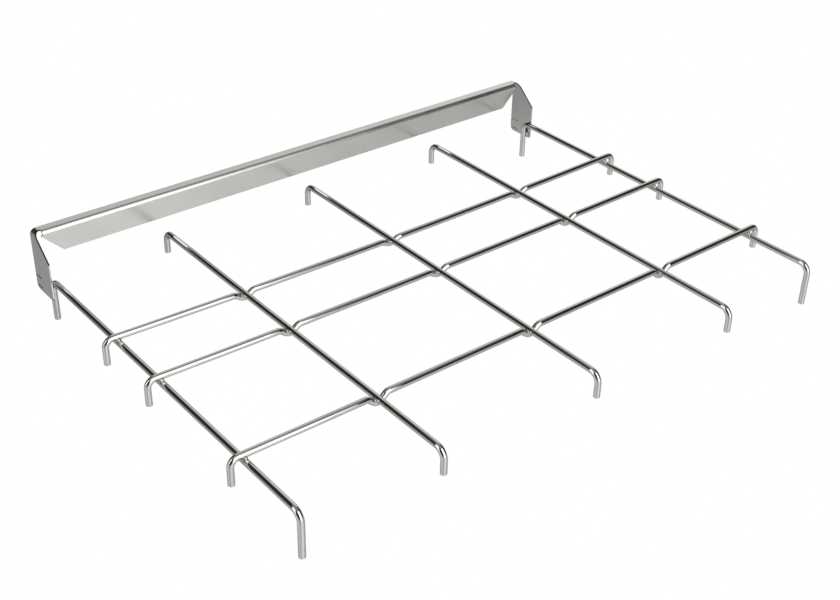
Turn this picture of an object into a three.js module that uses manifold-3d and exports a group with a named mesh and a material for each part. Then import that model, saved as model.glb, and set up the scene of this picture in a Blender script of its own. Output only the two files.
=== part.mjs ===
// Wire pan support: five long wires and three cross wires, welded into an open
// grid that stands on its own bent-down wire ends, with a folded sheet rail
// welded to the two outer wires along the rear.
//
// Frame: millimetres, +X to the right along the rail, +Y to the rear, +Z up.
// The origin is the centre of the footprint, on the surface the feet stand on.

import * as THREE from 'three';
import { mergeVertices } from 'three/addons/utils/BufferGeometryUtils.js';
import Module from 'manifold-3d';

const wasm = await Module();
wasm.setup();

// ---------------------------------------------------------------- dimensions

// Wire stock
const WIRE_RADIUS = 2.5;
const WIRE_SIDES = 12;
const CLEARANCE = 0.3; // gap kept between pieces that touch

// Long wires, front to rear
const OUTER_X = 245;
const INNER_X = 139.5;
const OUTER_FRONT_Y = -174;
const OUTER_REAR_Y = 163;
const OUTER_Z = 35;
const INNER_FRONT_Y = -182;
const INNER_REAR_Y = 174.5;
const INNER_Z = 37.4;
const INNER_FOOT_Z = 18.4;
const LONG_BEND_RADIUS = 8;

// Cross wires, left to right: they lie on the outer long wires, sag a little
// between them, and dip under each of the three inner long wires
const CROSS_END_X = 255.5;
const CROSS_Z = OUTER_Z + 2 * WIRE_RADIUS + CLEARANCE;
const CROSS_FOOT_Z = 20.3;
const CROSS_BEND_RADIUS = 6;
const DIP_Z = 34;
const DIP_HALF_LENGTH = 10;
const CROSS_WIRES = [
  { name: 'rear', y: 56, sag: 3.2 },
  { name: 'middle', y: -5, sag: 2.4 },
  { name: 'front', y: -111, sag: 1.0 },
];
const LONG_WIRES = [
  { name: 'left_outer', x: -OUTER_X, outer: true },
  { name: 'left_inner', x: -INNER_X, outer: false },
  { name: 'centre', x: 0, outer: false },
  { name: 'right_inner', x: INNER_X, outer: false },
  { name: 'right_outer', x: OUTER_X, outer: true },
];

// Rear rail, one folded sheet
const SHEET = 1.2;
const RAIL_TOP_Z = 71.5;
const RAIL_REAR_Y = 184.5;
const FLANGE_WIDTH = 9.4;
const FOLD_RADIUS = 3.8;
const FOLD_HALF_LENGTH = 242.6;
const FACE_HALF_LENGTH = 244.3;
const FACE_BOTTOM_Z = 50.5;
const PLATE_INNER_X = OUTER_X + WIRE_RADIUS + CLEARANCE;
const PLATE_OUTER_X = PLATE_INNER_X + SHEET;
const PLATE_WIDTH = 28;
const PLATE_BOTTOM_Z = 20;
const PLATE_SHOULDER_Z = 52;
const PLATE_CORNER_RADIUS = 3.2;
const PLATE_REAR_CORNER_RADIUS = 4.5;
const SLIT_HEIGHTS_Z = [32.3, 23.4];
const SLIT_DEPTH = 10;
const SLIT_WIDTH = 0.8;

// Weld metal
const OUTER_WELD_RADIUS = 3.3;
const INNER_WELD_RADIUS = 4.2;
const RAIL_WELD_HALF_LENGTH = 2.9;
const RAIL_WELD_RADIUS = 1.7;

const BEND_STEPS = 5;
const DIP_STEPS = 8;
const FOLD_STEPS = 4;

// ------------------------------------------------------------------ materials

const wireSteel = () => new THREE.MeshStandardMaterial({ color: 0xb6b9b8, roughness: 0.16, metalness: 1 });
const sheetSteel = () => new THREE.MeshStandardMaterial({ color: 0xbcc0be, roughness: 0.2, metalness: 1 });
const weldSteel = () => new THREE.MeshStandardMaterial({ color: 0x8c8e8c, roughness: 0.45, metalness: 1 });

// -------------------------------------------------------------- solid helpers

function toSolid(geometry) {
  const bare = geometry.index ? geometry.toNonIndexed() : geometry.clone();
  bare.deleteAttribute('normal');
  bare.deleteAttribute('uv');
  const merged = mergeVertices(bare);
  return new wasm.Manifold(new wasm.Mesh({
    numProp: 3,
    vertProperties: new Float32Array(merged.attributes.position.array),
    triVerts: new Uint32Array(merged.index.array),
  }));
}

function toGeometry(solid) {
  const mesh = solid.getMesh();
  const geometry = new THREE.BufferGeometry();
  geometry.setAttribute('position', new THREE.BufferAttribute(mesh.vertProperties, 3));
  geometry.setIndex(new THREE.BufferAttribute(mesh.triVerts, 1));
  geometry.computeVertexNormals();
  return geometry;
}

function namedMesh(name, geometry, material) {
  const mesh = new THREE.Mesh(geometry, material);
  mesh.name = name;
  return mesh;
}

// ---------------------------------------------------------------------- wires

// A wire's centre line, given as stations with a point and a direction. The
// section is placed at the stations only, so long straights stay plain.
class WirePath extends THREE.Curve {
  constructor(stations) {
    super();
    this.stations = stations;
  }

  blend(t, key, target) {
    const last = this.stations.length - 1;
    const index = Math.min(Math.floor(t * last + 1e-9), last - 1);
    const from = this.stations[index][key];
    const to = this.stations[index + 1][key];
    return target.copy(from).lerp(to, t * last - index);
  }

  getPoint(t, target = new THREE.Vector3()) {
    return this.blend(t, 'point', target);
  }

  getTangent(t, target = new THREE.Vector3()) {
    return this.blend(t, 'direction', target).normalize();
  }

  getUtoTmapping(u) {
    return u;
  }
}

function sweepWire(path, radius = WIRE_RADIUS) {
  const corners = [];
  for (let i = 0; i < WIRE_SIDES; i += 1) {
    const angle = (2 * Math.PI * i) / WIRE_SIDES;
    corners.push(new THREE.Vector2(radius * Math.cos(angle), radius * Math.sin(angle)));
  }
  const section = new THREE.Shape(corners);
  const steps = path.stations.length - 1;
  return new THREE.ExtrudeGeometry(section, { steps, extrudePath: path, bevelEnabled: false });
}

// Stations of a quarter bend between a level run and a vertical leg. `end` is
// where the two centre lines meet and `outward` the level direction towards it.
function bendDown(end, outward, radius) {
  const centre = end.clone().addScaledVector(outward, -radius);
  centre.z -= radius;
  const stations = [];
  for (let i = 0; i <= BEND_STEPS; i += 1) {
    const angle = (Math.PI / 2) * (i / BEND_STEPS);
    const point = centre.clone().addScaledVector(outward, radius * Math.sin(angle));
    point.z += radius * Math.cos(angle);
    const direction = outward.clone().multiplyScalar(Math.cos(angle));
    direction.z -= Math.sin(angle);
    stations.push({ point, direction });
  }
  return stations;
}

function reversed(stations) {
  return stations.map(({ point, direction }) => ({ point, direction: direction.clone().negate() })).reverse();
}

// A wire with both ends bent down to `footZ`; `middle` holds the stations of
// the level run between the two bends.
function standingWire(start, end, bendRadius, footZ, middle = []) {
  const outward = end.clone().sub(start).setZ(0).normalize();
  const down = new THREE.Vector3(0, 0, -1);
  const startFoot = { point: start.clone().setZ(footZ), direction: down.clone().negate() };
  const endFoot = { point: end.clone().setZ(footZ), direction: down };
  const startBend = reversed(bendDown(start, outward.clone().negate(), bendRadius));
  return new WirePath([startFoot, ...startBend, ...middle, ...bendDown(end, outward, bendRadius), endFoot]);
}

function longWirePath({ x, outer }) {
  const z = outer ? OUTER_Z : INNER_Z;
  const rear = new THREE.Vector3(x, outer ? OUTER_REAR_Y : INNER_REAR_Y, z);
  const front = new THREE.Vector3(x, outer ? OUTER_FRONT_Y : INNER_FRONT_Y, z);
  return standingWire(rear, front, LONG_BEND_RADIUS, outer ? 0 : INNER_FOOT_Z);
}

// Height of a cross wire's centre line at x, without and with its dips
function saggedHeight(x, sag) {
  const reach = Math.min(Math.abs(x) / OUTER_X, 1);
  return CROSS_Z - sag * (1 - reach * reach);
}

function crossHeight(x, sag) {
  let height = saggedHeight(x, sag);
  for (const wire of LONG_WIRES.filter(({ outer }) => !outer)) {
    const offset = (x - wire.x) / DIP_HALF_LENGTH;
    if (Math.abs(offset) < 1) {
      const depth = saggedHeight(wire.x, sag) - DIP_Z;
      height -= (depth * (1 + Math.cos(Math.PI * offset))) / 2;
    }
  }
  return height;
}

function crossWirePath({ y, sag }) {
  const xs = [-OUTER_X];
  for (const wire of LONG_WIRES.filter(({ outer }) => !outer)) {
    xs.push((xs[xs.length - 1] + wire.x - DIP_HALF_LENGTH) / 2);
    for (let i = 0; i <= DIP_STEPS; i += 1) {
      xs.push(wire.x + DIP_HALF_LENGTH * ((2 * i) / DIP_STEPS - 1));
    }
  }
  xs.push((xs[xs.length - 1] + OUTER_X) / 2, OUTER_X);
  const delta = 0.01;
  const middle = xs.map((x) => {
    const rise = crossHeight(x + delta, sag) - crossHeight(x - delta, sag);
    const direction = new THREE.Vector3(2 * delta, 0, rise).normalize();
    return { point: new THREE.Vector3(x, y, crossHeight(x, sag)), direction };
  });
  const left = new THREE.Vector3(-CROSS_END_X, y, CROSS_Z);
  const right = new THREE.Vector3(CROSS_END_X, y, CROSS_Z);
  return standingWire(left, right, CROSS_BEND_RADIUS, CROSS_FOOT_Z, middle);
}

// ----------------------------------------------------------------------- rail

// Prism of an outline drawn in the YZ plane, from -halfLength to +halfLength in X
function prismAlongX(outline, halfLength) {
  const geometry = new THREE.ExtrudeGeometry(outline, {
    depth: 2 * halfLength, bevelEnabled: false, curveSegments: FOLD_STEPS,
  });
  geometry.translate(0, 0, -halfLength);
  geometry.applyMatrix4(new THREE.Matrix4().makeBasis(
    new THREE.Vector3(0, 1, 0), new THREE.Vector3(0, 0, 1), new THREE.Vector3(1, 0, 0),
  ));
  return toSolid(geometry);
}

// Prism of an outline drawn in the XZ plane, from yLow to yHigh
function prismAlongY(outline, yLow, yHigh) {
  const geometry = new THREE.ExtrudeGeometry(outline, {
    depth: yHigh - yLow, bevelEnabled: false, curveSegments: FOLD_STEPS,
  });
  geometry.applyMatrix4(new THREE.Matrix4().makeBasis(
    new THREE.Vector3(1, 0, 0), new THREE.Vector3(0, 0, 1), new THREE.Vector3(0, -1, 0),
  ));
  geometry.translate(0, yHigh, 0);
  return toSolid(geometry);
}

// Side view of the end plates, whose slanted front edges run up to the flange
function plateOutline() {
  const rear = RAIL_REAR_Y;
  const front = RAIL_REAR_Y - PLATE_WIDTH;
  const outline = new THREE.Shape();
  outline.moveTo(rear, PLATE_BOTTOM_Z + PLATE_REAR_CORNER_RADIUS);
  outline.lineTo(rear, RAIL_TOP_Z);
  outline.lineTo(rear - FLANGE_WIDTH + FOLD_RADIUS, RAIL_TOP_Z);
  outline.lineTo(front, PLATE_SHOULDER_Z);
  outline.absarc(
    front + PLATE_CORNER_RADIUS, PLATE_BOTTOM_Z + PLATE_CORNER_RADIUS, PLATE_CORNER_RADIUS,
    Math.PI, 1.5 * Math.PI, false,
  );
  outline.absarc(
    rear - PLATE_REAR_CORNER_RADIUS, PLATE_BOTTOM_Z + PLATE_REAR_CORNER_RADIUS, PLATE_REAR_CORNER_RADIUS,
    1.5 * Math.PI, 2 * Math.PI, false,
  );
  return outline;
}

// Front view of the sheet from one end plate over the flange to the other
function archOutline() {
  const outerRadius = FOLD_RADIUS + SHEET;
  const bottom = PLATE_BOTTOM_Z - 1;
  const outline = new THREE.Shape();
  outline.moveTo(PLATE_OUTER_X, bottom);
  outline.lineTo(PLATE_OUTER_X, RAIL_TOP_Z - outerRadius);
  outline.absarc(PLATE_OUTER_X - outerRadius, RAIL_TOP_Z - outerRadius, outerRadius, 0, Math.PI / 2, false);
  outline.lineTo(-PLATE_OUTER_X + outerRadius, RAIL_TOP_Z);
  outline.absarc(-PLATE_OUTER_X + outerRadius, RAIL_TOP_Z - outerRadius, outerRadius, Math.PI / 2, Math.PI, false);
  outline.lineTo(-PLATE_OUTER_X, bottom);
  outline.lineTo(-PLATE_INNER_X, bottom);
  outline.absarc(-PLATE_INNER_X + FOLD_RADIUS, RAIL_TOP_Z - outerRadius, FOLD_RADIUS, Math.PI, Math.PI / 2, true);
  outline.absarc(PLATE_INNER_X - FOLD_RADIUS, RAIL_TOP_Z - outerRadius, FOLD_RADIUS, Math.PI / 2, 0, true);
  outline.lineTo(PLATE_INNER_X, bottom);
  return outline;
}

// Side view of the front face hanging from the folded corner of the flange
function faceSideOutline() {
  const fold = RAIL_REAR_Y - FLANGE_WIDTH;
  const innerRadius = FOLD_RADIUS - SHEET;
  const outline = new THREE.Shape();
  outline.moveTo(RAIL_REAR_Y, RAIL_TOP_Z - SHEET);
  outline.lineTo(RAIL_REAR_Y, RAIL_TOP_Z);
  outline.lineTo(fold + FOLD_RADIUS, RAIL_TOP_Z);
  outline.absarc(fold + FOLD_RADIUS, RAIL_TOP_Z - FOLD_RADIUS, FOLD_RADIUS, Math.PI / 2, Math.PI, false);
  outline.lineTo(fold, FACE_BOTTOM_Z);
  outline.lineTo(fold + SHEET, FACE_BOTTOM_Z);
  outline.absarc(fold + FOLD_RADIUS, RAIL_TOP_Z - FOLD_RADIUS, innerRadius, Math.PI, Math.PI / 2, true);
  return outline;
}

// Front view of the face with its 45 degree ends, below the shorter fold
function faceFrontOutline() {
  const faceTop = RAIL_TOP_Z - FOLD_RADIUS;
  const halfBottom = FACE_HALF_LENGTH - (faceTop - FACE_BOTTOM_Z);
  return new THREE.Shape([
    new THREE.Vector2(-FOLD_HALF_LENGTH, RAIL_TOP_Z + 1),
    new THREE.Vector2(-FOLD_HALF_LENGTH, faceTop),
    new THREE.Vector2(-FACE_HALF_LENGTH, faceTop),
    new THREE.Vector2(-halfBottom, FACE_BOTTOM_Z),
    new THREE.Vector2(halfBottom, FACE_BOTTOM_Z),
    new THREE.Vector2(FACE_HALF_LENGTH, faceTop),
    new THREE.Vector2(FOLD_HALF_LENGTH, faceTop),
    new THREE.Vector2(FOLD_HALF_LENGTH, RAIL_TOP_Z + 1),
  ]);
}

function railSolid() {
  const margin = 5;
  const frontY = RAIL_REAR_Y - PLATE_WIDTH - margin;
  const rearY = RAIL_REAR_Y + margin;
  const arch = prismAlongY(archOutline(), frontY, rearY)
    .intersect(prismAlongX(plateOutline(), PLATE_OUTER_X + margin));
  const face = prismAlongX(faceSideOutline(), PLATE_INNER_X)
    .intersect(prismAlongY(faceFrontOutline(), frontY, rearY));
  let rail = arch.add(face);
  for (const slitZ of SLIT_HEIGHTS_Z) {
    const slit = new THREE.BoxGeometry(2 * PLATE_OUTER_X + margin, 2 * SLIT_DEPTH, SLIT_WIDTH);
    slit.translate(0, RAIL_REAR_Y, slitZ);
    rail = rail.subtract(toSolid(slit));
  }
  return rail;
}

// ---------------------------------------------------------------------- welds

function ball(x, y, z, radius, stretchZ = 1) {
  const geometry = new THREE.SphereGeometry(radius, 10, 6);
  geometry.scale(1, 1, stretchZ);
  geometry.translate(x, y, z);
  return toSolid(geometry);
}

// Ring of fused metal in the crevice around a crossing of two wires
function crossingWeld(longWire, crossWire, longSpace, crossSpace) {
  const crossZ = crossHeight(longWire.x, crossWire.sag);
  const longZ = longWire.outer ? OUTER_Z : INNER_Z;
  const radius = longWire.outer ? OUTER_WELD_RADIUS : INNER_WELD_RADIUS;
  return ball(longWire.x, crossWire.y, (crossZ + longZ) / 2, radius)
    .subtract(longSpace)
    .subtract(crossSpace);
}

// Bead between an outer wire's rear leg and the end plate; `side` picks the
// plate and `flank` the front or the rear of the leg
function railWeld(side, flank, legSpace) {
  const z = (PLATE_BOTTOM_Z + OUTER_Z - LONG_BEND_RADIUS) / 2;
  const y = OUTER_REAR_Y + flank * WIRE_RADIUS;
  const x = side * PLATE_INNER_X;
  const bead = ball(x, y, z, RAIL_WELD_RADIUS, RAIL_WELD_HALF_LENGTH / RAIL_WELD_RADIUS);
  const plate = new THREE.BoxGeometry(10, 20, 20);
  plate.translate(side * (PLATE_INNER_X - CLEARANCE + 5), OUTER_REAR_Y, z);
  return bead.subtract(legSpace).subtract(toSolid(plate));
}

// ------------------------------------------------------------------- assembly

const panSupport = new THREE.Group();
panSupport.name = 'pan_support';

// Space that each wire needs, clearance included
const spaceRadius = WIRE_RADIUS + CLEARANCE;
const longSpaces = LONG_WIRES.map((wire) => toSolid(sweepWire(longWirePath(wire), spaceRadius)));
const crossSpaces = CROSS_WIRES.map((wire) => toSolid(sweepWire(crossWirePath(wire), spaceRadius)));

for (const wire of LONG_WIRES) {
  panSupport.add(namedMesh(`long_wire_${wire.name}`, sweepWire(longWirePath(wire)), wireSteel()));
}

// Each cross wire is seated against the long wires that it passes under
for (const wire of CROSS_WIRES) {
  let solid = toSolid(sweepWire(crossWirePath(wire)));
  for (const space of longSpaces) {
    solid = solid.subtract(space);
  }
  panSupport.add(namedMesh(`cross_wire_${wire.name}`, toGeometry(solid), wireSteel()));
}

panSupport.add(namedMesh('rear_rail', toGeometry(railSolid()), sheetSteel()));

LONG_WIRES.forEach((longWire, i) => {
  CROSS_WIRES.forEach((crossWire, j) => {
    const solid = crossingWeld(longWire, crossWire, longSpaces[i], crossSpaces[j]);
    panSupport.add(namedMesh(`weld_${longWire.name}_${crossWire.name}`, toGeometry(solid), weldSteel()));
  });
});

for (const [sideName, side] of [['left', -1], ['right', 1]]) {
  const legSpace = longSpaces[side < 0 ? 0 : LONG_WIRES.length - 1];
  for (const [flankName, flank] of [['front', -1], ['rear', 1]]) {
    const solid = railWeld(side, flank, legSpace);
    panSupport.add(namedMesh(`rail_weld_${sideName}_${flankName}`, toGeometry(solid), weldSteel()));
  }
}

export default panSupport;
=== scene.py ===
"""Looks of the wire pan support: polished wires, their welds and the folded rear rail.

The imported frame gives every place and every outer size. The named dimensions below are the
shapes that a box can't tell, such as a bend's radius or a cross wire's sag. All in metres.
"""

import math

import bmesh
import bpy
import numpy as np
from mathutils import Matrix, Vector


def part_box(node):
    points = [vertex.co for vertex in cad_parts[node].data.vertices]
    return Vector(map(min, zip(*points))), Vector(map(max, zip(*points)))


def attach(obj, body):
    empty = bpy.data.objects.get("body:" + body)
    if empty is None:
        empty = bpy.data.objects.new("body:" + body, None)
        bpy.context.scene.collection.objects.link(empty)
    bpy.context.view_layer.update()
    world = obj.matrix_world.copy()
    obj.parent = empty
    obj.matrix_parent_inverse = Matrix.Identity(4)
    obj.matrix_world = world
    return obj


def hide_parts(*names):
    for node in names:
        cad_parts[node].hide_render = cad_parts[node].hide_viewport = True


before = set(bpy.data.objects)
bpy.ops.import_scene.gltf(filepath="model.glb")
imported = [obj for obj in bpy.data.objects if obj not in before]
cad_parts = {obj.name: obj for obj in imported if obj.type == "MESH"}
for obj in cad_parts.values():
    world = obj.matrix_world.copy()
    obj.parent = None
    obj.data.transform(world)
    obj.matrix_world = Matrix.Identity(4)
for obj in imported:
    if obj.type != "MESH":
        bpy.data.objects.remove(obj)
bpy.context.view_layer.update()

MM = 0.001
QUARTER_TURN = math.pi / 2

# ---------------------------------------------------------------- dimensions

# Wires
LONG_NAMES = ("left_outer", "left_inner", "centre", "right_inner", "right_outer")
OUTER_NAMES = ("left_outer", "right_outer")
CROSS_SAGS = {"rear": 3.2 * MM, "middle": 2.4 * MM, "front": 1.0 * MM}
LONG_BEND_RADIUS = 8.0 * MM
CROSS_BEND_RADIUS = 6.0 * MM
DIP_Z = 34.0 * MM  # the centre line at the bottom of a dip
DIP_HALF_LENGTH = 10.0 * MM
CUT_EDGE_RADIUS = 0.45 * MM
WIRE_SEGMENTS = 40
BEND_STEPS = 22
DIP_STEPS = 28
SPAN_STEPS = 10
CUT_EDGE_STEPS = 4
SLOPE_STEP = 0.01 * MM

# Rail
SHEET = 1.2 * MM
SHEET_EDGE_ROUNDING = 0.20 * MM
FLANGE_WIDTH = 9.4 * MM
FOLD_RADIUS = 3.8 * MM
FOLD_HALF_LENGTH = 242.6 * MM
FACE_HALF_LENGTH = 244.3 * MM  # along its top, a little longer than the fold
FACE_BOTTOM_Z = 50.5 * MM
PLATE_SHOULDER_Z = 52.0 * MM  # the front edge slants back above it
PLATE_CORNER_RADIUS = 3.2 * MM
PLATE_REAR_CORNER_RADIUS = 4.5 * MM
SLIT_HEIGHTS_Z = (23.4 * MM, 32.3 * MM)  # from the lower one up
SLIT_DEPTH = 10.0 * MM
SLIT_WIDTH = 0.8 * MM
FOLD_STEPS = 14
CORNER_STEPS = 8

# Welds at the crossings
OUTER_FILLET_RADIUS = 1.1 * MM
INNER_FILLET_RADIUS = 0.9 * MM
WELD_SINK = 0.12 * MM  # into each wire
WELD_SEGMENTS = 56
FILLET_STEPS = 7

# Search for the balls that lie in the fillets
FIRST_GUESS = 0.9 * MM
LONGEST_CHANGE = 0.5 * MM
SEARCH_ROUNDS = 40
SEARCH_REACH = 12 * MM
SEARCH_SAMPLES = 1201

# Beads between the rail and the legs
BEAD_RADIUS = 1.5 * MM
BEAD_HALF_LENGTH = 2.9 * MM
BEAD_INSET = 0.9 * BEAD_RADIUS
BEAD_RIPPLE = 0.018
BEAD_RIPPLE_PITCH = 0.75 * MM
BEAD_STEPS = 24
BEAD_SIDES = 20


# ------------------------------------------------------------------- helpers

def linked_object(name, bm):
    """Makes a smooth shaded object of a finished bmesh and links it to the scene."""
    mesh = bpy.data.meshes.new(name)
    bm.to_mesh(mesh)
    bm.free()
    for polygon in mesh.polygons:
        polygon.use_smooth = True
    obj = bpy.data.objects.new(name, mesh)
    bpy.context.scene.collection.objects.link(obj)
    return obj


def linked_solid(name, bm):
    """The same for a solid: its faces are turned outwards, and its sharp edges stay sharp."""
    bmesh.ops.recalc_face_normals(bm, faces=bm.faces)
    obj = linked_object(name, bm)
    obj.data.set_sharp_from_angle(angle=math.radians(35))
    return obj


def finish_piece(obj, node, material):
    """Gives a piece its material, and its place in the frame."""
    obj.data.materials.append(material)
    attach(obj, "root")
    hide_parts(node)


def circle(radius, count):
    """Evenly spaced points of a circle around the origin of a plane."""
    angles = [2 * math.pi * k / count for k in range(count)]
    return [(radius * math.cos(angle), radius * math.sin(angle)) for angle in angles]


def arc(centre, radius, start, end, steps):
    """Points of an arc in a plane, ends included. Angles are in degrees."""
    points = []
    for i in range(steps + 1):
        angle = math.radians(start + (end - start) * i / steps)
        points.append((centre[0] + radius * math.cos(angle), centre[1] + radius * math.sin(angle)))
    return points


def skin_rings(bm, rings, first_pole, last_pole):
    """Joins rings of vertices with quads, and closes each end with a fan around its pole."""
    count = len(rings[0])
    for k in range(count):
        after = (k + 1) % count
        for lower, upper in zip(rings, rings[1:]):
            bm.faces.new((lower[k], lower[after], upper[after], upper[k]))
        bm.faces.new((first_pole, rings[0][after], rings[0][k]))
        bm.faces.new((last_pole, rings[-1][k], rings[-1][after]))


# ------------------------------------------------------------- shader pieces

def shader_nodes(name):
    """A new node material, with its node tree and its Principled shader."""
    material = bpy.data.materials.new(name)
    material.use_nodes = True
    tree = material.node_tree
    return material, tree, tree.nodes["Principled BSDF"]


def streak_noise(tree, density_u, density_v, detail=3.0, roughness=0.6):
    """Noise on the "surface" UVs; the densities along U and V are in features per metre."""
    coordinates = tree.nodes.new("ShaderNodeUVMap")
    coordinates.uv_map = "surface"
    stretch = tree.nodes.new("ShaderNodeMapping")
    stretch.inputs["Scale"].default_value = (density_u, density_v, 1.0)
    noise = tree.nodes.new("ShaderNodeTexNoise")
    noise.inputs["Scale"].default_value = 1.0
    noise.inputs["Detail"].default_value = detail
    noise.inputs["Roughness"].default_value = roughness
    tree.links.new(coordinates.outputs["UV"], stretch.inputs["Vector"])
    tree.links.new(stretch.outputs["Vector"], noise.inputs["Vector"])
    return noise.outputs["Fac"]


def space_noise(tree, scale, detail=4.0):
    """Noise in the object's own space; scale is in features per metre."""
    coordinates = tree.nodes.new("ShaderNodeTexCoord")
    noise = tree.nodes.new("ShaderNodeTexNoise")
    noise.inputs["Scale"].default_value = scale
    noise.inputs["Detail"].default_value = detail
    tree.links.new(coordinates.outputs["Object"], noise.inputs["Vector"])
    return noise.outputs["Fac"]


def span(tree, value, low, high, source_low=0.3, source_high=0.7):
    """Spreads a value evenly between two output values, as it goes between two of its own."""
    spread = tree.nodes.new("ShaderNodeMapRange")
    spread.inputs["From Min"].default_value = source_low
    spread.inputs["From Max"].default_value = source_high
    spread.inputs["To Min"].default_value = low
    spread.inputs["To Max"].default_value = high
    tree.links.new(value, spread.inputs["Value"])
    return spread.outputs["Result"]


def smooth_step(tree, value, outside, inside, peak=1.0):
    """A smooth step from zero at one value to a peak at another."""
    step = tree.nodes.new("ShaderNodeMapRange")
    step.interpolation_type = "SMOOTHSTEP"
    step.inputs["From Min"].default_value = outside
    step.inputs["From Max"].default_value = inside
    step.inputs["To Max"].default_value = peak
    tree.links.new(value, step.inputs["Value"])
    return step.outputs["Result"]


def calculated(tree, operation, first, second=None):
    """The result of a Math node on one or two values."""
    node = tree.nodes.new("ShaderNodeMath")
    node.operation = operation
    tree.links.new(first, node.inputs[0])
    if second is not None:
        tree.links.new(second, node.inputs[1])
    return node.outputs["Value"]


def tinted(tree, value, first, second, ends=(0.3, 0.7)):
    """A colour between two others, picked by a value between two end values."""
    ramp = tree.nodes.new("ShaderNodeValToRGB")
    for element, end, colour in zip(ramp.color_ramp.elements, ends, (first, second)):
        element.position = end
        element.color = (*colour, 1.0)
    tree.links.new(value, ramp.inputs["Fac"])
    return ramp.outputs["Color"]


def blended(tree, factor, first, second):
    """A colour between two varying colours."""
    mix = tree.nodes.new("ShaderNodeMix")
    mix.data_type = "RGBA"
    tree.links.new(factor, mix.inputs["Factor"])
    tree.links.new(first, mix.inputs["A"])
    tree.links.new(second, mix.inputs["B"])
    return mix.outputs["Result"]


def bumped(tree, shader, height, strength, distance):
    """Gives the shader fine relief from a height value; distance is in metres."""
    bump = tree.nodes.new("ShaderNodeBump")
    bump.inputs["Strength"].default_value = strength
    bump.inputs["Distance"].default_value = distance
    tree.links.new(height, bump.inputs["Height"])
    tree.links.new(bump.outputs["Normal"], shader.inputs["Normal"])


# ----------------------------------------------------------------- materials

def polished_wire_material():
    """Drawn and polished wire: faint lines along the wire, and faint clouding."""
    material, tree, shader = shader_nodes("polished_wire")
    shader.inputs["Metallic"].default_value = 1.0
    shader.inputs["Specular Tint"].default_value = (0.58, 0.58, 0.58, 1.0)
    lines = streak_noise(tree, 5200.0, 45.0)
    clouds = space_noise(tree, 55.0)
    colour = tinted(tree, clouds, (0.585, 0.597, 0.566), (0.640, 0.652, 0.620))
    tree.links.new(colour, shader.inputs["Base Color"])
    fine = span(tree, lines, 0.0, 0.025)
    broad = span(tree, clouds, 0.03, 0.055)
    tree.links.new(calculated(tree, "ADD", fine, broad), shader.inputs["Roughness"])
    bumped(tree, shader, lines, 0.12, 0.01 * MM)
    return material


def bright_sheet_material():
    """Bright rolled sheet: a fine grain along the rolling direction, and faint clouding."""
    material, tree, shader = shader_nodes("bright_sheet")
    shader.inputs["Metallic"].default_value = 1.0
    grain = streak_noise(tree, 22.0, 6500.0, detail=4.0)
    clouds = space_noise(tree, 28.0)
    colour = tinted(tree, clouds, (0.600, 0.613, 0.577), (0.640, 0.655, 0.617))
    tree.links.new(colour, shader.inputs["Base Color"])
    fine = span(tree, grain, 0.0, 0.07)
    broad = span(tree, clouds, 0.16, 0.20)
    tree.links.new(calculated(tree, "ADD", fine, broad), shader.inputs["Roughness"])
    bumped(tree, shader, grain, 0.10, 0.01 * MM)
    return material


def front_edge_highlight_mask(tree):
    """Where the painted highlight goes: one on the end plates' upright front edges, and zero on the other
    cut edges.

    It goes by where the edge faces, and it ends at the plates' shoulder.
    """
    coordinates = tree.nodes.new("ShaderNodeTexCoord")
    facing = tree.nodes.new("ShaderNodeSeparateXYZ")
    tree.links.new(coordinates.outputs["Normal"], facing.inputs["Vector"])
    sloped = calculated(tree, "ABSOLUTE", facing.outputs["Z"])
    rearward = calculated(tree, "ADD", facing.outputs["Y"], sloped)
    forward = span(tree, rearward, 0.0, 1.0, -0.3, -0.6)
    place = tree.nodes.new("ShaderNodeSeparateXYZ")
    tree.links.new(coordinates.outputs["Object"], place.inputs["Vector"])
    margin = 0.5 * MM
    below = smooth_step(tree, place.outputs["Z"], PLATE_SHOULDER_Z + margin, PLATE_SHOULDER_Z - margin)
    return calculated(tree, "MULTIPLY", forward, below)


def cut_edge_shade_and_highlight_material():
    """Sheared edge of the sheet, dull: painted shade (near black) on its cut edges, and a painted
    highlight (near white) on the upright front edges.
    """
    material, tree, shader = shader_nodes("sheared_edge")
    shader.inputs["Metallic"].default_value = 1.0
    shader.inputs["Specular Tint"].default_value = (0.2, 0.2, 0.2, 1.0)
    burr = space_noise(tree, 1500.0)
    # Painted shade: the cut edges are near black, standing in for the shade on them.
    dark = tinted(tree, burr, (0.020, 0.020, 0.019), (0.045, 0.045, 0.043))
    # Painted highlight: the upright front edges, picked by where they face, are near white.
    bright = tinted(tree, burr, (0.82, 0.83, 0.81), (0.93, 0.93, 0.92))
    colour = blended(tree, front_edge_highlight_mask(tree), dark, bright)
    tree.links.new(colour, shader.inputs["Base Color"])
    tree.links.new(span(tree, burr, 0.22, 0.34), shader.inputs["Roughness"])
    return material


def weld_material(name, smoothest, roughest):
    """Weld metal: slightly darker and duller than the wires, and mottled."""
    material, tree, shader = shader_nodes(name)
    shader.inputs["Metallic"].default_value = 1.0
    mottle = space_noise(tree, 900.0, detail=5.0)
    colour = tinted(tree, mottle, (0.46, 0.46, 0.435), (0.60, 0.605, 0.585))
    tree.links.new(colour, shader.inputs["Base Color"])
    tree.links.new(span(tree, mottle, smoothest, roughest), shader.inputs["Roughness"])
    bumped(tree, shader, mottle, 0.15, 0.04 * MM)
    return material


# --------------------------------------------------------------------- wires

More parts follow.
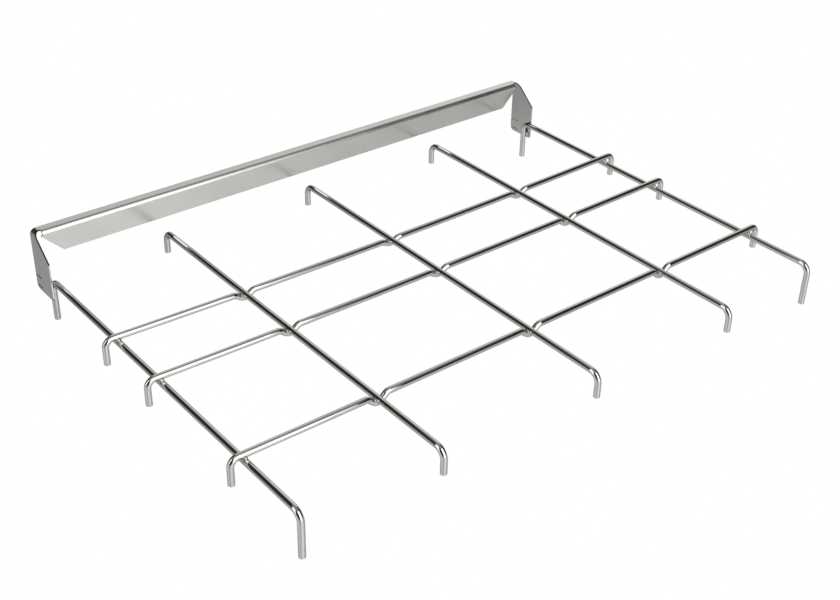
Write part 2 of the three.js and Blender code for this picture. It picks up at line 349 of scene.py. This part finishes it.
class Wire:
    """Centre line of a wire that lies in one upright plane, with both ends bent down.

    The wire runs along `axis`, 0 for X or 1 for Y. Its kinds add `stations()`, the coordinates
    on that axis of the rings between the bends, and `nearest(points)`, the points of the level
    run's centre line that are nearest to some points in space.
    """

    def __init__(self, node, axis, bend_radius):
        low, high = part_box(node)
        self.node = node
        self.axis = axis
        self.across = 1 - axis
        self.bend_radius = bend_radius
        self.radius = (high[self.across] - low[self.across]) / 2
        self.offset = (high[self.across] + low[self.across]) / 2
        self.start = low[axis] + self.radius
        self.end = high[axis] - self.radius
        self.foot_z = low.z
        self.end_z = high.z - self.radius

    def height(self, run):
        """Height of the level run's centre line at a coordinate on the axis."""
        return np.full_like(np.asarray(run, float), self.end_z)

    def place(self, run, z):
        point = Vector((self.offset, self.offset, z))
        point[self.axis] = run
        return point

    def direction(self, run, rise):
        way = Vector((0.0, 0.0, rise))
        way[self.axis] = run
        return way.normalized()

    def centre_line(self):
        """Points and directions from foot to foot."""
        line = [(self.place(self.start, self.foot_z), self.direction(0, 1))]
        level_start = self.start + self.bend_radius
        level_end = self.end - self.bend_radius
        bend_z = self.end_z - self.bend_radius
        turns = [QUARTER_TURN * i / BEND_STEPS for i in range(BEND_STEPS + 1)]
        for turn in turns:
            run = level_start - self.bend_radius * math.cos(turn)
            z = bend_z + self.bend_radius * math.sin(turn)
            line.append((self.place(run, z), self.direction(math.sin(turn), math.cos(turn))))
        for run in self.stations():
            rise = float(self.height(run + SLOPE_STEP) - self.height(run - SLOPE_STEP))
            way = self.direction(2 * SLOPE_STEP, rise)
            line.append((self.place(run, float(self.height(run))), way))
        for turn in turns:
            run = level_end + self.bend_radius * math.sin(turn)
            z = bend_z + self.bend_radius * math.cos(turn)
            line.append((self.place(run, z), self.direction(math.cos(turn), -math.sin(turn))))
        line.append((self.place(self.end, self.foot_z), self.direction(0, -1)))
        return line


def stations_between(start, end):
    """Evenly spaced coordinates between two others, without these two."""
    return [start + (end - start) * i / SPAN_STEPS for i in range(1, SPAN_STEPS)]


class LongWire(Wire):
    """A long wire is straight and level between its bends."""

    def __init__(self, name):
        super().__init__(f"long_wire_{name}", 1, LONG_BEND_RADIUS)
        self.name = name
        self.outer = name in OUTER_NAMES

    def stations(self):
        return stations_between(self.start + self.bend_radius, self.end - self.bend_radius)

    def nearest(self, points):
        close = points.copy()
        close[:, 0] = self.offset
        close[:, 2] = self.end_z
        return close


class CrossWire(Wire):
    """A cross wire sags between the outer long wires and dips under the inner ones."""

    def __init__(self, name, long_wires):
        super().__init__(f"cross_wire_{name}", 0, CROSS_BEND_RADIUS)
        self.name = name
        self.sag = CROSS_SAGS[name]
        self.reach = long_wires[-1].offset
        self.dips = [wire.offset for wire in long_wires if not wire.outer]

    def sagged(self, run):
        """Height of the centre line without its dips."""
        share = np.minimum(np.abs(run) / self.reach, 1.0)
        return self.end_z - self.sag * (1 - share ** 2)

    def height(self, run):
        run = np.asarray(run, float)
        z = self.sagged(run)
        for dip in self.dips:
            offset = np.clip((run - dip) / DIP_HALF_LENGTH, -1.0, 1.0)
            z = z - (self.sagged(dip) - DIP_Z) * (1 + np.cos(math.pi * offset)) / 2
        return z

    def stations(self):
        runs = [-self.reach]
        for dip in self.dips:
            runs += stations_between(runs[-1], dip - DIP_HALF_LENGTH)
            runs += [dip + DIP_HALF_LENGTH * (2 * i / DIP_STEPS - 1) for i in range(DIP_STEPS + 1)]
        return runs + stations_between(runs[-1], self.reach) + [self.reach]

    def nearest(self, points):
        centre = points[:, 0].mean()
        runs = np.linspace(centre - SEARCH_REACH, centre + SEARCH_REACH, SEARCH_SAMPLES)
        distance = (points[:, :1] - runs) ** 2 + (points[:, 2:] - self.height(runs)) ** 2
        close = points.copy()
        close[:, 0] = runs[distance.argmin(axis=1)]
        close[:, 1] = self.offset
        close[:, 2] = self.height(close[:, 0])
        return close


def wire_rings(wire):
    """Centre, direction and radius of every ring, with the rounded edge of both cut ends."""
    line = wire.centre_line()
    flat = wire.radius - CUT_EDGE_RADIUS
    edge = []
    for i in range(CUT_EDGE_STEPS + 1):
        angle = QUARTER_TURN * i / CUT_EDGE_STEPS
        edge.append((CUT_EDGE_RADIUS * (1 - math.cos(angle)), flat + CUT_EDGE_RADIUS * math.sin(angle)))
    foot, way = line[0]
    tip, tip_way = line[-1]
    first = [(foot + way * inset, way, radius) for inset, radius in edge]
    last = [(tip - tip_way * inset, tip_way, radius) for inset, radius in reversed(edge)]
    return first + [(point, direction, wire.radius) for point, direction in line[1:-1]] + last


def ring_vertices(bm, centre, way, side, radius):
    """Vertices of a round section that stands square to the wire."""
    outward = way.cross(side)
    section = circle(radius, WIRE_SEGMENTS)
    return [bm.verts.new(centre + outward * out + side * sideways) for out, sideways in section]


def build_wire(wire, material):
    """Sweeps a round section along the wire. Its UVs are metres around and along the wire."""
    bm = bmesh.new()
    uv = bm.loops.layers.uv.new("surface")
    side = Vector((0.0, 0.0, 0.0))
    side[wire.across] = 1.0
    rings = []
    travelled = [0.0]
    previous = None
    for centre, way, radius in wire_rings(wire):
        rings.append(ring_vertices(bm, centre, way, side, radius))
        if previous is not None:
            travelled.append(travelled[-1] + (centre - previous).length)
        previous = centre
    segment = 2 * math.pi * wire.radius / WIRE_SEGMENTS
    for i in range(len(rings) - 1):
        for k in range(WIRE_SEGMENTS):
            after = (k + 1) % WIRE_SEGMENTS
            face = bm.faces.new((rings[i][k], rings[i][after], rings[i + 1][after], rings[i + 1][k]))
            corners = ((k, i), (k + 1, i), (k + 1, i + 1), (k, i + 1))
            for loop, (around, along) in zip(face.loops, corners):
                loop[uv].uv = (around * segment, travelled[along])
    bm.faces.new(list(reversed(rings[0])))
    bm.faces.new(rings[-1])
    obj = linked_solid(f"{wire.node}_polished", bm)
    finish_piece(obj, wire.node, material)


# ---------------------------------------------------------------------- rail

class Rail:
    """Places on the outer surface of the folded sheet."""

    def __init__(self):
        low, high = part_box("rear_rail")
        self.outer_x = high.x
        self.top = high.z
        self.bottom = low.z
        self.rear = high.y
        self.front = low.y
        self.face_y = self.rear - FLANGE_WIDTH
        self.flange_y = self.face_y + FOLD_RADIUS
        self.fold_bottom = self.top - FOLD_RADIUS
        self.fold_length = QUARTER_TURN * FOLD_RADIUS
        self.end_fold_radius = FOLD_RADIUS + SHEET
        self.end_fold_length = QUARTER_TURN * self.end_fold_radius
        self.flange_x = self.outer_x - self.end_fold_radius
        self.plate_top = self.top - self.end_fold_radius

    def front_edge(self, z):
        """The end plates' slanted front edge at a height above their shoulder."""
        share = (z - PLATE_SHOULDER_Z) / (self.top - PLATE_SHOULDER_Z)
        return self.front + (self.flange_y - self.front) * share

    def rear_corner_y(self, z):
        """The end plates' rear edge at a height, with its rounded lower corner."""
        fall = self.bottom + PLATE_REAR_CORNER_RADIUS - z
        if fall <= 0:
            return self.rear
        return self.rear - PLATE_REAR_CORNER_RADIUS + math.sqrt(PLATE_REAR_CORNER_RADIUS ** 2 - fall ** 2)

    def plate_outline(self):
        """The flat part of an end plate in the YZ plane, with its two slits from the rear edge."""
        corner = PLATE_CORNER_RADIUS
        rear_corner = PLATE_REAR_CORNER_RADIUS
        outline = [(self.rear, self.plate_top), (self.front_edge(self.plate_top), self.plate_top)]
        outline.append((self.front, PLATE_SHOULDER_Z))
        outline += arc((self.front + corner, self.bottom + corner), corner, 180, 270, CORNER_STEPS)
        rear_centre = (self.rear - rear_corner, self.bottom + rear_corner)
        rear_edge = arc(rear_centre, rear_corner, 270, 360, CORNER_STEPS)
        blind = self.rear - SLIT_DEPTH
        for slit_z in SLIT_HEIGHTS_Z:
            low, high = slit_z - SLIT_WIDTH / 2, slit_z + SLIT_WIDTH / 2
            outline += [point for point in rear_edge if point[1] < low]
            outline += [(self.rear_corner_y(low), low), (blind, low)]
            outline += [(blind - SLIT_WIDTH / 2, slit_z), (blind, high), (self.rear_corner_y(high), high)]
            rear_edge = [point for point in rear_edge if point[1] > high]
        return outline + rear_edge


class SheetSurface:
    """Faces that share their vertices. Their UVs are metres on the sheet laid flat."""

    def __init__(self):
        self.bm = bmesh.new()
        self.uv = self.bm.loops.layers.uv.new("surface")
        self.seen = {}

    def vertex(self, point):
        key = tuple(round(c, 7) for c in point)
        if key not in self.seen:
            self.seen[key] = self.bm.verts.new(point)
        return self.seen[key]

    def add_face(self, corners, flat):
        face = self.bm.faces.new([self.vertex(c) for c in corners])
        for loop, place in zip(face.loops, flat):
            loop[self.uv].uv = place


def add_flange(surface, rail):
    """The flange; its front edge also has the two ends of the fold on it."""
    corners = [
        (-rail.flange_x, rail.flange_y), (-FOLD_HALF_LENGTH, rail.flange_y),
        (FOLD_HALF_LENGTH, rail.flange_y), (rail.flange_x, rail.flange_y),
        (rail.flange_x, rail.rear), (-rail.flange_x, rail.rear),
    ]
    surface.add_face([(x, y, rail.top) for x, y in corners], corners)


def add_fold(surface, rail):
    """The fold between the flange and the front face."""
    profile = arc((rail.flange_y, rail.fold_bottom), FOLD_RADIUS, 90, 180, FOLD_STEPS)
    half = FOLD_HALF_LENGTH
    for i in range(FOLD_STEPS):
        (y0, z0), (y1, z1) = profile[i], profile[i + 1]
        v0 = rail.flange_y - rail.fold_length * i / FOLD_STEPS
        v1 = rail.flange_y - rail.fold_length * (i + 1) / FOLD_STEPS
        surface.add_face(
            [(half, y0, z0), (-half, y0, z0), (-half, y1, z1), (half, y1, z1)],
            [(half, v0), (-half, v0), (-half, v1), (half, v1)],
        )


def add_front_face(surface, rail):
    """The front face; its ends slant inwards at 45 degrees, down to its lower edge."""
    height = rail.fold_bottom - FACE_BOTTOM_Z
    half_bottom = FACE_HALF_LENGTH - height
    corners = [
        (FOLD_HALF_LENGTH, rail.fold_bottom), (-FOLD_HALF_LENGTH, rail.fold_bottom),
        (-FACE_HALF_LENGTH, rail.fold_bottom), (-half_bottom, FACE_BOTTOM_Z),
        (half_bottom, FACE_BOTTOM_Z), (FACE_HALF_LENGTH, rail.fold_bottom),
    ]
    v_top = rail.flange_y - rail.fold_length
    surface.add_face(
        [(x, rail.face_y, z) for x, z in corners],
        [(x, v_top - (rail.fold_bottom - z)) for x, z in corners],
    )


def add_end_plate(surface, rail, side):
    """The end plate on one side, -1 or 1, with the fold between it and the flange."""
    strip = []
    for i in range(FOLD_STEPS + 1):
        angle = QUARTER_TURN * i / FOLD_STEPS
        x = rail.flange_x + rail.end_fold_radius * math.sin(angle)
        z = rail.plate_top + rail.end_fold_radius * math.cos(angle)
        strip.append((side * x, z, side * (rail.flange_x + rail.end_fold_length * i / FOLD_STEPS)))
    for (x0, z0, u0), (x1, z1, u1) in zip(strip, strip[1:]):
        f0, f1 = rail.front_edge(z0), rail.front_edge(z1)
        corners = [(x0, rail.rear, z0), (x0, f0, z0), (x1, f1, z1), (x1, rail.rear, z1)]
        flat = [(u0, rail.rear), (u0, f0), (u1, f1), (u1, rail.rear)]
        if side < 0:
            corners.reverse()
            flat.reverse()
        surface.add_face(corners, flat)
    outline = rail.plate_outline()
    if side < 0:
        outline.reverse()
    u_top = side * (rail.flange_x + rail.end_fold_length)
    surface.add_face(
        [(side * rail.outer_x, y, z) for y, z in outline],
        [(u_top + side * (rail.plate_top - z), y) for y, z in outline],
    )


def build_rail(material, edge_material):
    """The rail: its outer surface, given the sheet's thickness, with all cut edges broken."""
    rail = Rail()
    surface = SheetSurface()
    add_flange(surface, rail)
    add_fold(surface, rail)
    add_front_face(surface, rail)
    for side in (-1, 1):
        add_end_plate(surface, rail, side)
    obj = linked_object("rear_rail_folded", surface.bm)
    thickness = obj.modifiers.new("sheet", "SOLIDIFY")
    thickness.thickness = SHEET
    thickness.offset = -1.0
    thickness.use_even_offset = True
    # The cut rims take the second material: painted shade, and a painted highlight on the upright front
    # edges.
    thickness.material_offset_rim = 1
    rounding = obj.modifiers.new("edges", "BEVEL")
    rounding.width = SHEET_EDGE_ROUNDING
    rounding.segments = 2
    rounding.limit_method = "ANGLE"
    rounding.angle_limit = math.radians(30)
    rounding.harden_normals = True
    # The rounded cut edges take that painted shade and painted highlight too.
    rounding.material = 1
    finish_piece(obj, "rear_rail", material)
    obj.data.materials.append(edge_material)


# --------------------------------------------------------------------- welds

def slopes_and_miss(wire, balls, out, reach):
    """How each ball's distance from a wire changes as it moves out or up, and how far off it is."""
    away = balls - wire.nearest(balls)
    length = np.linalg.norm(away, axis=1)
    unit = away / length[:, None]
    return (unit * out).sum(axis=1), unit[:, 2], length - reach


def fillet_centres(long_wire, cross_wire, angles, fillet_radii):
    """The crossing's middle, and the centres of the balls around it that touch both wires.

    There is one ball in each direction. It starts near the crossing and moves out and up, by
    Newton's method, until it touches both wires.
    """
    reach = long_wire.radius + fillet_radii
    out = np.stack([np.cos(angles), np.sin(angles), np.zeros_like(angles)], axis=1)
    middle_z = (long_wire.end_z + float(cross_wire.height(long_wire.offset))) / 2
    middle = np.array([long_wire.offset, cross_wire.offset, middle_z])
    balls = middle + out * (long_wire.radius + FIRST_GUESS)
    for _ in range(SEARCH_ROUNDS):
        cross_out, cross_up, cross_miss = slopes_and_miss(cross_wire, balls, out, reach)
        long_out, long_up, long_miss = slopes_and_miss(long_wire, balls, out, reach)
        determinant = cross_out * long_up - cross_up * long_out
        determinant = np.where(np.abs(determinant) < 1e-6, 1e-6, determinant)
        change_out = (cross_miss * long_up - cross_up * long_miss) / determinant
        change_up = (cross_out * long_miss - cross_miss * long_out) / determinant
        balls = balls - out * np.clip(change_out, -LONGEST_CHANGE, LONGEST_CHANGE)[:, None]
        balls[:, 2] -= np.clip(change_up, -LONGEST_CHANGE, LONGEST_CHANGE)
    return middle, balls


def fillet_row(ball, radius, cross_axis, long_axis):
    """Points on a ball from the cross wire to the long wire, and one point inside each wire."""
    to_cross = (cross_axis - ball) / np.linalg.norm(cross_axis - ball)
    to_long = (long_axis - ball) / np.linalg.norm(long_axis - ball)
    bend = math.acos(float(np.clip(to_cross @ to_long, -1.0, 1.0)))
    row = [ball + to_cross * (radius + WELD_SINK)]
    for i in range(FILLET_STEPS + 1):
        share = i / FILLET_STEPS
        way = to_cross * math.sin((1 - share) * bend) + to_long * math.sin(share * bend)
        row.append(ball + way / math.sin(bend) * radius)
    row.append(ball + to_long * (radius + WELD_SINK))
    return row


def build_crossing_weld(long_wire, cross_wire, number, material):
    """Fused metal around a crossing: an uneven rolling-ball fillet, closed inside both wires."""
    nominal = OUTER_FILLET_RADIUS if long_wire.outer else INNER_FILLET_RADIUS
    angles = np.arange(WELD_SEGMENTS) * 2 * math.pi / WELD_SEGMENTS
    unevenness = 0.10 * np.sin(2 * angles + 1.7 * number) + 0.05 * np.sin(5 * angles + 0.9 * number)
    radii = nominal * (1 + unevenness)
    middle, balls = fillet_centres(long_wire, cross_wire, angles, radii)
    cross_axes, long_axes = cross_wire.nearest(balls), long_wire.nearest(balls)
    rows = [
        fillet_row(ball, radius, cross_axis, long_axis)
        for ball, radius, cross_axis, long_axis in zip(balls, radii, cross_axes, long_axes)
    ]
    bm = bmesh.new()
    rings = [[bm.verts.new(row[i]) for row in rows] for i in range(len(rows[0]))]
    cross_pole = bm.verts.new((middle[0], middle[1], float(cross_wire.height(long_wire.offset))))
    long_pole = bm.verts.new((middle[0], middle[1], long_wire.end_z))
    skin_rings(bm, rings, cross_pole, long_pole)
    node = f"weld_{long_wire.name}_{cross_wire.name}"
    obj = linked_solid(f"{node}_fused", bm)
    finish_piece(obj, node, material)


def build_rail_bead(side_name, flank_name, material):
    """Rippled upright bead between an outer wire's rear leg and the end plate."""
    node = f"rail_weld_{side_name}_{flank_name}"
    low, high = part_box(node)
    centre = (low + high) / 2
    if side_name == "right":
        centre.x = low.x + BEAD_INSET
    else:
        centre.x = high.x - BEAD_INSET
    bm = bmesh.new()
    rings = []
    for i in range(1, BEAD_STEPS):
        share = 2 * i / BEAD_STEPS - 1
        along = share * BEAD_HALF_LENGTH
        ripple = 1 + BEAD_RIPPLE * math.cos(2 * math.pi * along / BEAD_RIPPLE_PITCH)
        radius = BEAD_RADIUS * math.sqrt(1 - share ** 2) * ripple
        section = circle(radius, BEAD_SIDES)
        rings.append([bm.verts.new(centre + Vector((x, y, along))) for x, y in section])
    bottom = bm.verts.new(centre - Vector((0, 0, BEAD_HALF_LENGTH)))
    top = bm.verts.new(centre + Vector((0, 0, BEAD_HALF_LENGTH)))
    skin_rings(bm, rings, bottom, top)
    obj = linked_solid(f"{node}_bead", bm)
    finish_piece(obj, node, material)


# -------------------------------------------------------------------- studio

# There are two floors. The camera sees only the upper one, plain and white. The metal mirrors
# only the lower one, which glows evenly and is dimmer behind the rail, where it is shaded.
FLOOR_SIZE = 12.0
FLOOR_GAP = 0.2 * MM
FLOOR_GLOW = (0.743, 0.743, 0.743)
FLOOR_GLOW_IN_SHADE = (0.510, 0.525, 0.540)

# The shade deepens towards the rear: x, y and z, each times its number here, add up to a
# distance in metres. There is no shade up to the start, and it is full from the end.
FLOOR_SHADE_WAY = (-0.2, 1.0, 0.0)
FLOOR_SHADE_START = 0.12
FLOOR_SHADE_END = 0.24

# Bright panels of the studio, far away. Azimuth 0 is the rear and 90 the right, in degrees; the
# sizes and the softness are tangents, as seen from the object.
STUDIO_PANELS = (
    {"name": "front softbox", "azimuth": 176.5, "elevation": 25.0, "half_width": 0.48,
     "rise": (-0.62, 0.80), "softness": 0.09, "radiance": 2.14},
    {"name": "left softbox", "azimuth": -76.0, "elevation": 27.0, "half_width": 0.25,
     "rise": (-0.45, 0.45), "softness": 0.07, "radiance": 1.71},
    {"name": "rear right wall", "azimuth": 43.0, "elevation": 0.0, "half_width": 0.60,
     "rise": (-0.50, 1.35), "softness": 0.42, "radiance": 0.68},
    {"name": "bright part of the wall", "azimuth": 56.0, "elevation": 0.0, "half_width": 0.33,
     "rise": (-0.50, 1.00), "softness": 0.36, "radiance": 0.20},
    {"name": "ceiling", "azimuth": 0.0, "elevation": 90.0, "half_width": 0.70,
     "rise": (-0.70, 0.70), "softness": 0.30, "radiance": 0.286},
    {"name": "low haze at the rear", "azimuth": -20.0, "elevation": 0.0, "half_width": 1.20,
     "rise": (-0.40, 0.10), "softness": 0.30, "radiance": 0.257},
    {"name": "low haze on the right", "azimuth": 128.0, "elevation": 0.0, "half_width": 0.42,
     "rise": (-0.40, 0.08), "softness": 0.36, "radiance": 0.243},
)

# The dark rest of the studio
STUDIO_DARK = 0.034
STUDIO_DARK_COLOUR = (1.0, 1.02, 0.88)
WHITE = (1.0, 1.0, 1.0)

# The camera looks at the target from the front left and from above. Angles are in degrees.
CAMERA_TARGET = (-0.0314, -0.0220, 0.0300)
CAMERA_DISTANCE = 1.0162
CAMERA_AZIMUTH = -39.42
CAMERA_ELEVATION = 32.13
CAMERA_ROLL = 1.454
CAMERA_LENS = 56.92


def white_floor_material():
    """Plain white, however it is lit."""
    material = bpy.data.materials.new("floor_white")
    material.use_nodes = True
    tree = material.node_tree
    tree.nodes.clear()
    glow = tree.nodes.new("ShaderNodeEmission")
    glow.inputs["Strength"].default_value = 1.0
    output = tree.nodes.new("ShaderNodeOutputMaterial")
    tree.links.new(glow.outputs["Emission"], output.inputs["Surface"])
    return material


def mirrored_floor_material():
    """The pale floor as the metal mirrors it: a glow under a low sheen."""
    material, tree, shader = shader_nodes("floor_sheen")
    shader.inputs["Base Color"].default_value = (0.0, 0.0, 0.0, 1.0)
    shader.inputs["Specular IOR Level"].default_value = 0.0
    shader.inputs["Coat Weight"].default_value = 1.0
    shader.inputs["Coat IOR"].default_value = 3.1
    shader.inputs["Coat Roughness"].default_value = 0.33
    shader.inputs["Emission Strength"].default_value = 1.0
    coordinates = tree.nodes.new("ShaderNodeTexCoord")
    rearward = tree.nodes.new("ShaderNodeVectorMath")
    rearward.operation = "DOT_PRODUCT"
    rearward.inputs[1].default_value = FLOOR_SHADE_WAY
    tree.links.new(coordinates.outputs["Object"], rearward.inputs[0])
    shade = smooth_step(tree, rearward.outputs["Value"], FLOOR_SHADE_START, FLOOR_SHADE_END)
    glow = tinted(tree, shade, FLOOR_GLOW, FLOOR_GLOW_IN_SHADE, (0.0, 1.0))
    tree.links.new(glow, shader.inputs["Emission Color"])
    return material


def build_floor(name, z, material):
    bm = bmesh.new()
    bmesh.ops.create_grid(bm, x_segments=2, y_segments=2, size=FLOOR_SIZE / 2)
    bmesh.ops.translate(bm, verts=bm.verts, vec=(0, 0, z))
    obj = linked_object(name, bm)
    obj.data.materials.append(material)
    return obj


def build_floors():
    upper = build_floor("floor", -FLOOR_GAP, white_floor_material())
    upper.visible_glossy = False
    lower = build_floor("bounce_floor", -2 * FLOOR_GAP, mirrored_floor_material())
    lower.visible_camera = False


def studio_panel(tree, coordinates, panel):
    """Radiance of a flat, far, soft-edged panel, in every direction."""
    turned = coordinates
    for angles in ((0.0, 0.0, panel["azimuth"]), (-panel["elevation"], 0.0, 0.0)):
        turn = tree.nodes.new("ShaderNodeMapping")
        turn.inputs["Rotation"].default_value = [math.radians(angle) for angle in angles]
        tree.links.new(turned, turn.inputs["Vector"])
        turned = turn.outputs["Vector"]
    split = tree.nodes.new("ShaderNodeSeparateXYZ")
    tree.links.new(turned, split.inputs["Vector"])
    sideways = calculated(tree, "DIVIDE", split.outputs["X"], split.outputs["Y"])
    across = calculated(tree, "ABSOLUTE", sideways)
    upward = calculated(tree, "DIVIDE", split.outputs["Z"], split.outputs["Y"])
    half, (bottom, top), soft = panel["half_width"], panel["rise"], panel["softness"] / 2
    total = smooth_step(tree, across, half + soft, half - soft, panel["radiance"])
    for mask in (
        smooth_step(tree, upward, bottom - soft, bottom + soft),
        smooth_step(tree, upward, top + soft, top - soft),
        smooth_step(tree, split.outputs["Y"], 0.0, 0.02),
    ):
        total = calculated(tree, "MULTIPLY", total, mask)
    return total


def background(tree, colour, strength):
    """An even background of one colour."""
    node = tree.nodes.new("ShaderNodeBackground")
    node.inputs["Color"].default_value = (*colour, 1.0)
    node.inputs["Strength"].default_value = strength
    return node


def build_world():
    """The studio all around as the metal mirrors it, and a white backdrop for the camera."""
    world = bpy.data.worlds.new("studio")
    world.use_nodes = True
    bpy.context.scene.world = world
    tree = world.node_tree
    tree.nodes.clear()
    coordinates = tree.nodes.new("ShaderNodeTexCoord")
    studio = None
    for panel in STUDIO_PANELS:
        radiance = studio_panel(tree, coordinates.outputs["Generated"], panel)
        studio = radiance if studio is None else calculated(tree, "ADD", studio, radiance)
    lit = background(tree, WHITE, 1.0)
    tree.links.new(studio, lit.inputs["Strength"])
    dark = background(tree, STUDIO_DARK_COLOUR, STUDIO_DARK)
    mirrored = tree.nodes.new("ShaderNodeAddShader")
    tree.links.new(lit.outputs["Background"], mirrored.inputs[0])
    tree.links.new(dark.outputs["Background"], mirrored.inputs[1])
    backdrop = background(tree, WHITE, 1.0)
    path = tree.nodes.new("ShaderNodeLightPath")
    mix = tree.nodes.new("ShaderNodeMixShader")
    output = tree.nodes.new("ShaderNodeOutputWorld")
    tree.links.new(path.outputs["Is Camera Ray"], mix.inputs["Fac"])
    tree.links.new(mirrored.outputs["Shader"], mix.inputs[1])
    tree.links.new(backdrop.outputs["Background"], mix.inputs[2])
    tree.links.new(mix.outputs["Shader"], output.inputs["Surface"])


def build_camera():
    """The camera, turned slightly about its own axis."""
    azimuth, elevation, roll = (
        math.radians(angle) for angle in (CAMERA_AZIMUTH, CAMERA_ELEVATION, CAMERA_ROLL)
    )
    back = Vector((
        math.sin(azimuth) * math.cos(elevation),
        -math.cos(azimuth) * math.cos(elevation),
        math.sin(elevation),
    ))
    right = (-back).cross(Vector((0, 0, 1))).normalized()
    up = right.cross(-back)
    turned_right = right * math.cos(roll) + up * math.sin(roll)
    turned_up = up * math.cos(roll) - right * math.sin(roll)
    camera = bpy.data.cameras.new("camera")
    camera.sensor_width = 36.0
    camera.lens = CAMERA_LENS
    camera.clip_start = 0.02
    obj = bpy.data.objects.new("camera", camera)
    axes = Matrix((turned_right, turned_up, back)).transposed().to_4x4()
    place = Vector(CAMERA_TARGET) + back * CAMERA_DISTANCE
    obj.matrix_world = Matrix.Translation(place) @ axes
    bpy.context.scene.collection.objects.link(obj)
    bpy.context.scene.camera = obj


# --------------------------------------------------------------------- scene

bpy.context.scene.view_settings.view_transform = "Standard"
build_camera()
build_floors()
build_world()

wire_finish = polished_wire_material()
sheet_finish = bright_sheet_material()
edge_shade_and_highlight = cut_edge_shade_and_highlight_material()
weld_finish = weld_material("cleaned_weld", 0.10, 0.22)
bead_finish = weld_material("brushed_bead", 0.36, 0.50)

long_wires = [LongWire(name) for name in LONG_NAMES]
cross_wires = [CrossWire(name, long_wires) for name in CROSS_SAGS]
for wire in long_wires + cross_wires:
    build_wire(wire, wire_finish)

build_rail(sheet_finish, edge_shade_and_highlight)

for i, long_wire in enumerate(long_wires):
    for j, cross_wire in enumerate(cross_wires):
        build_crossing_weld(long_wire, cross_wire, len(cross_wires) * i + j, weld_finish)
for side_name in ("left", "right"):
    for flank_name in ("front", "rear"):
        build_rail_bead(side_name, flank_name, bead_finish)
